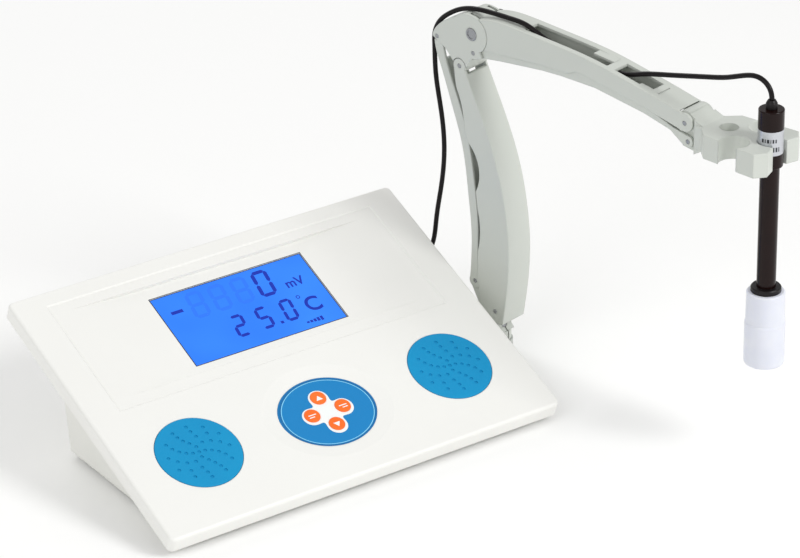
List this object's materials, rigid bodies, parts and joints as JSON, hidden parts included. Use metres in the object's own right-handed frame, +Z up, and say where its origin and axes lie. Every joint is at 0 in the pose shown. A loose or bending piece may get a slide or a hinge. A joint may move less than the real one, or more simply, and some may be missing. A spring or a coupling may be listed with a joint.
{
  "type": "bench ph meter",
  "caption": "Bench pH meter: slanted case with lit display, keypad and pads, and a jointed side arm that holds a capped electrode in a soaking bottle.",
  "frame": {"origin": "on the desk surface, under the middle of the whole object's footprint (case and arm together)", "axes": "+Z up, +X to the user's right towards the electrode arm, -Y towards the user who faces the display"},
  "size_m": [0.3894, 0.3211, 0.2564],
  "materials": {
    "case_white": "fine moulded texture",
    "case_lower": "fine moulded texture",
    "rubber_dark": "matt",
    "steel": "bright",
    "lcd_blue": "lit blue, printed segments",
    "backlight": "clear light guide",
    "keypad_blue": "satin film",
    "key_orange": "satin",
    "board_green": "solder mask",
    "pad_blue": "satin, dimpled",
    "transformer_core": "varnished laminations",
    "black_plastic": "satin",
    "nickel": "plated",
    "arm_grey": "fine moulded texture",
    "bracket_paint": "powder coat",
    "electrode_black": "satin",
    "label_silver": "printed foil",
    "bulb_glass": "clear",
    "bottle_clear": "frosted translucent plastic",
    "cable_black": "satin",
    "terminal_grey": "moulded"
  },
  "bodies": {
    "meter": {"top_cover": "case_white", "bottom_case": "case_lower", "rubber_feet": "rubber_dark", "case_screws": "steel", "lcd_panel": "lcd_blue", "lcd_backlight": "backlight", "keypad_overlay": "keypad_blue", "keypad_board": "board_green", "left_pad": "pad_blue", "right_pad": "pad_blue", "main_board": "board_green", "board_posts": "steel", "transformer": "transformer_core", "bnc_socket": "nickel", "temp_socket": "black_plastic", "ref_terminal": "terminal_grey", "power_inlet": "black_plastic", "rocker_frame": "black_plastic", "fuse_holder": "black_plastic", "arm_bracket": "bracket_paint", "bracket_screws": "steel", "swivel_post": "steel", "bnc_plug": "nickel", "cable_drop": "cable_black"},
    "up_key": {"key_up": "key_orange"},
    "down_key": {"key_down": "key_orange"},
    "left_key": {"key_left": "key_orange"},
    "right_key": {"key_right": "key_orange"},
    "rocker": {"power_rocker": "black_plastic"},
    "arm_base": {"turret": "arm_grey", "lower_front_pin": "steel", "lower_rear_pin": "steel"},
    "front_arm": {"front_link": "arm_grey"},
    "rear_arm": {"rear_link": "arm_grey"},
    "elbow": {"elbow_bracket": "arm_grey", "elbow_rear_pin": "steel", "elbow_front_pin": "steel", "bottom_link_pin": "steel", "tension_bolt": "steel", "cable_elbow": "cable_black"},
    "knob": {"tension_knob": "black_plastic"},
    "upper_arm": {"top_link": "arm_grey", "cable_arm": "cable_black"},
    "lower_bar": {"bottom_link": "arm_grey"},
    "head": {"electrode_head": "arm_grey", "head_upper_pin": "steel", "head_lower_pin": "steel"},
    "electrode": {"electrode_cap": "electrode_black", "electrode_label": "label_silver", "strain_relief": "rubber_dark", "electrode_rod": "electrode_black", "glass_bulb": "bulb_glass", "cable_lead": "cable_black"},
    "bottle": {"soak_bottle": "bottle_clear", "bottle_seal": "rubber_dark"}
  },
  "joints": [
    {"name": "press_up", "type": "slide", "parent": "meter", "child": "up_key", "axis": [0, 0.3859, -0.9225], "range_m": [0, 0.0005], "stiffness_N_per_m": 4000},
    {"name": "press_down", "type": "slide", "parent": "meter", "child": "down_key", "axis": [0, 0.3859, -0.9225], "range_m": [0, 0.0005], "stiffness_N_per_m": 4000},
    {"name": "press_left", "type": "slide", "parent": "meter", "child": "left_key", "axis": [0, 0.3859, -0.9225], "range_m": [0, 0.0005], "stiffness_N_per_m": 4000},
    {"name": "press_right", "type": "slide", "parent": "meter", "child": "right_key", "axis": [0, 0.3859, -0.9225], "range_m": [0, 0.0005], "stiffness_N_per_m": 4000},
    {"name": "rocker_tilt", "type": "hinge", "parent": "meter", "child": "rocker", "pos_m": [-0.09371, 0.1126, 0.03193], "axis": [0, -0.1222, -0.9925], "range_deg": [0, 14]},
    {"name": "arm_swivel", "type": "hinge", "parent": "meter", "child": "arm_base", "pos_m": [0.12279, 0.06433, 0.015], "axis": [0, 0, 1], "range_deg": [-8, 60]},
    {"name": "lower_pitch", "type": "hinge", "parent": "arm_base", "child": "front_arm", "pos_m": [0.12414, 0.05848, 0.0343], "axis": [0.9744, 0.225, 0], "range_deg": [-10, 18], "deforming": ["cable_drop"]},
    {"name": "rear_pitch", "type": "hinge", "parent": "arm_base", "child": "rear_arm", "pos_m": [0.11987, 0.077, 0.05], "axis": [0.9744, 0.225, 0], "range_deg": [-10, 18]},
    {"name": "elbow_level", "type": "hinge", "parent": "front_arm", "child": "elbow", "pos_m": [0.11759, 0.08684, 0.202], "axis": [0.9744, 0.225, 0], "range_deg": [-18, 10], "deforming": ["cable_elbow"]},
    {"name": "upper_pitch", "type": "hinge", "parent": "elbow", "child": "upper_arm", "pos_m": [0.11998, 0.07651, 0.2267], "axis": [0.9744, 0.225, 0], "range_deg": [-20, 10], "deforming": ["cable_arm"]},
    {"name": "bar_pitch", "type": "hinge", "parent": "elbow", "child": "lower_bar", "pos_m": [0.12027, 0.07524, 0.214], "axis": [0.9744, 0.225, 0], "range_deg": [-20, 10]},
    {"name": "head_level", "type": "hinge", "parent": "upper_arm", "child": "head", "pos_m": [0.15887, -0.09196, 0.2148], "axis": [0.9744, 0.225, 0], "range_deg": [-10, 20]},
    {"name": "knob_turn", "type": "hinge", "parent": "elbow", "child": "knob", "pos_m": [0.13557, 0.08011, 0.2267], "axis": [0.9744, 0.225, 0], "range_deg": [-90, 90]},
    {"name": "electrode_lift", "type": "slide", "parent": "head", "child": "electrode", "axis": [0, 0, 1], "range_m": [0, 0.03], "deforming": ["cable_lead"]},
    {"name": "bottle_pull", "type": "slide", "parent": "electrode", "child": "bottle", "axis": [0, 0, -1], "range_m": [0, 0.05]}
  ],
  "couplings": [
    {"joint": "rear_pitch", "follows": "lower_pitch", "ratio": 1},
    {"joint": "elbow_level", "follows": "lower_pitch", "ratio": -1},
    {"joint": "bar_pitch", "follows": "upper_pitch", "ratio": 1},
    {"joint": "head_level", "follows": "upper_pitch", "ratio": -1}
  ]
}
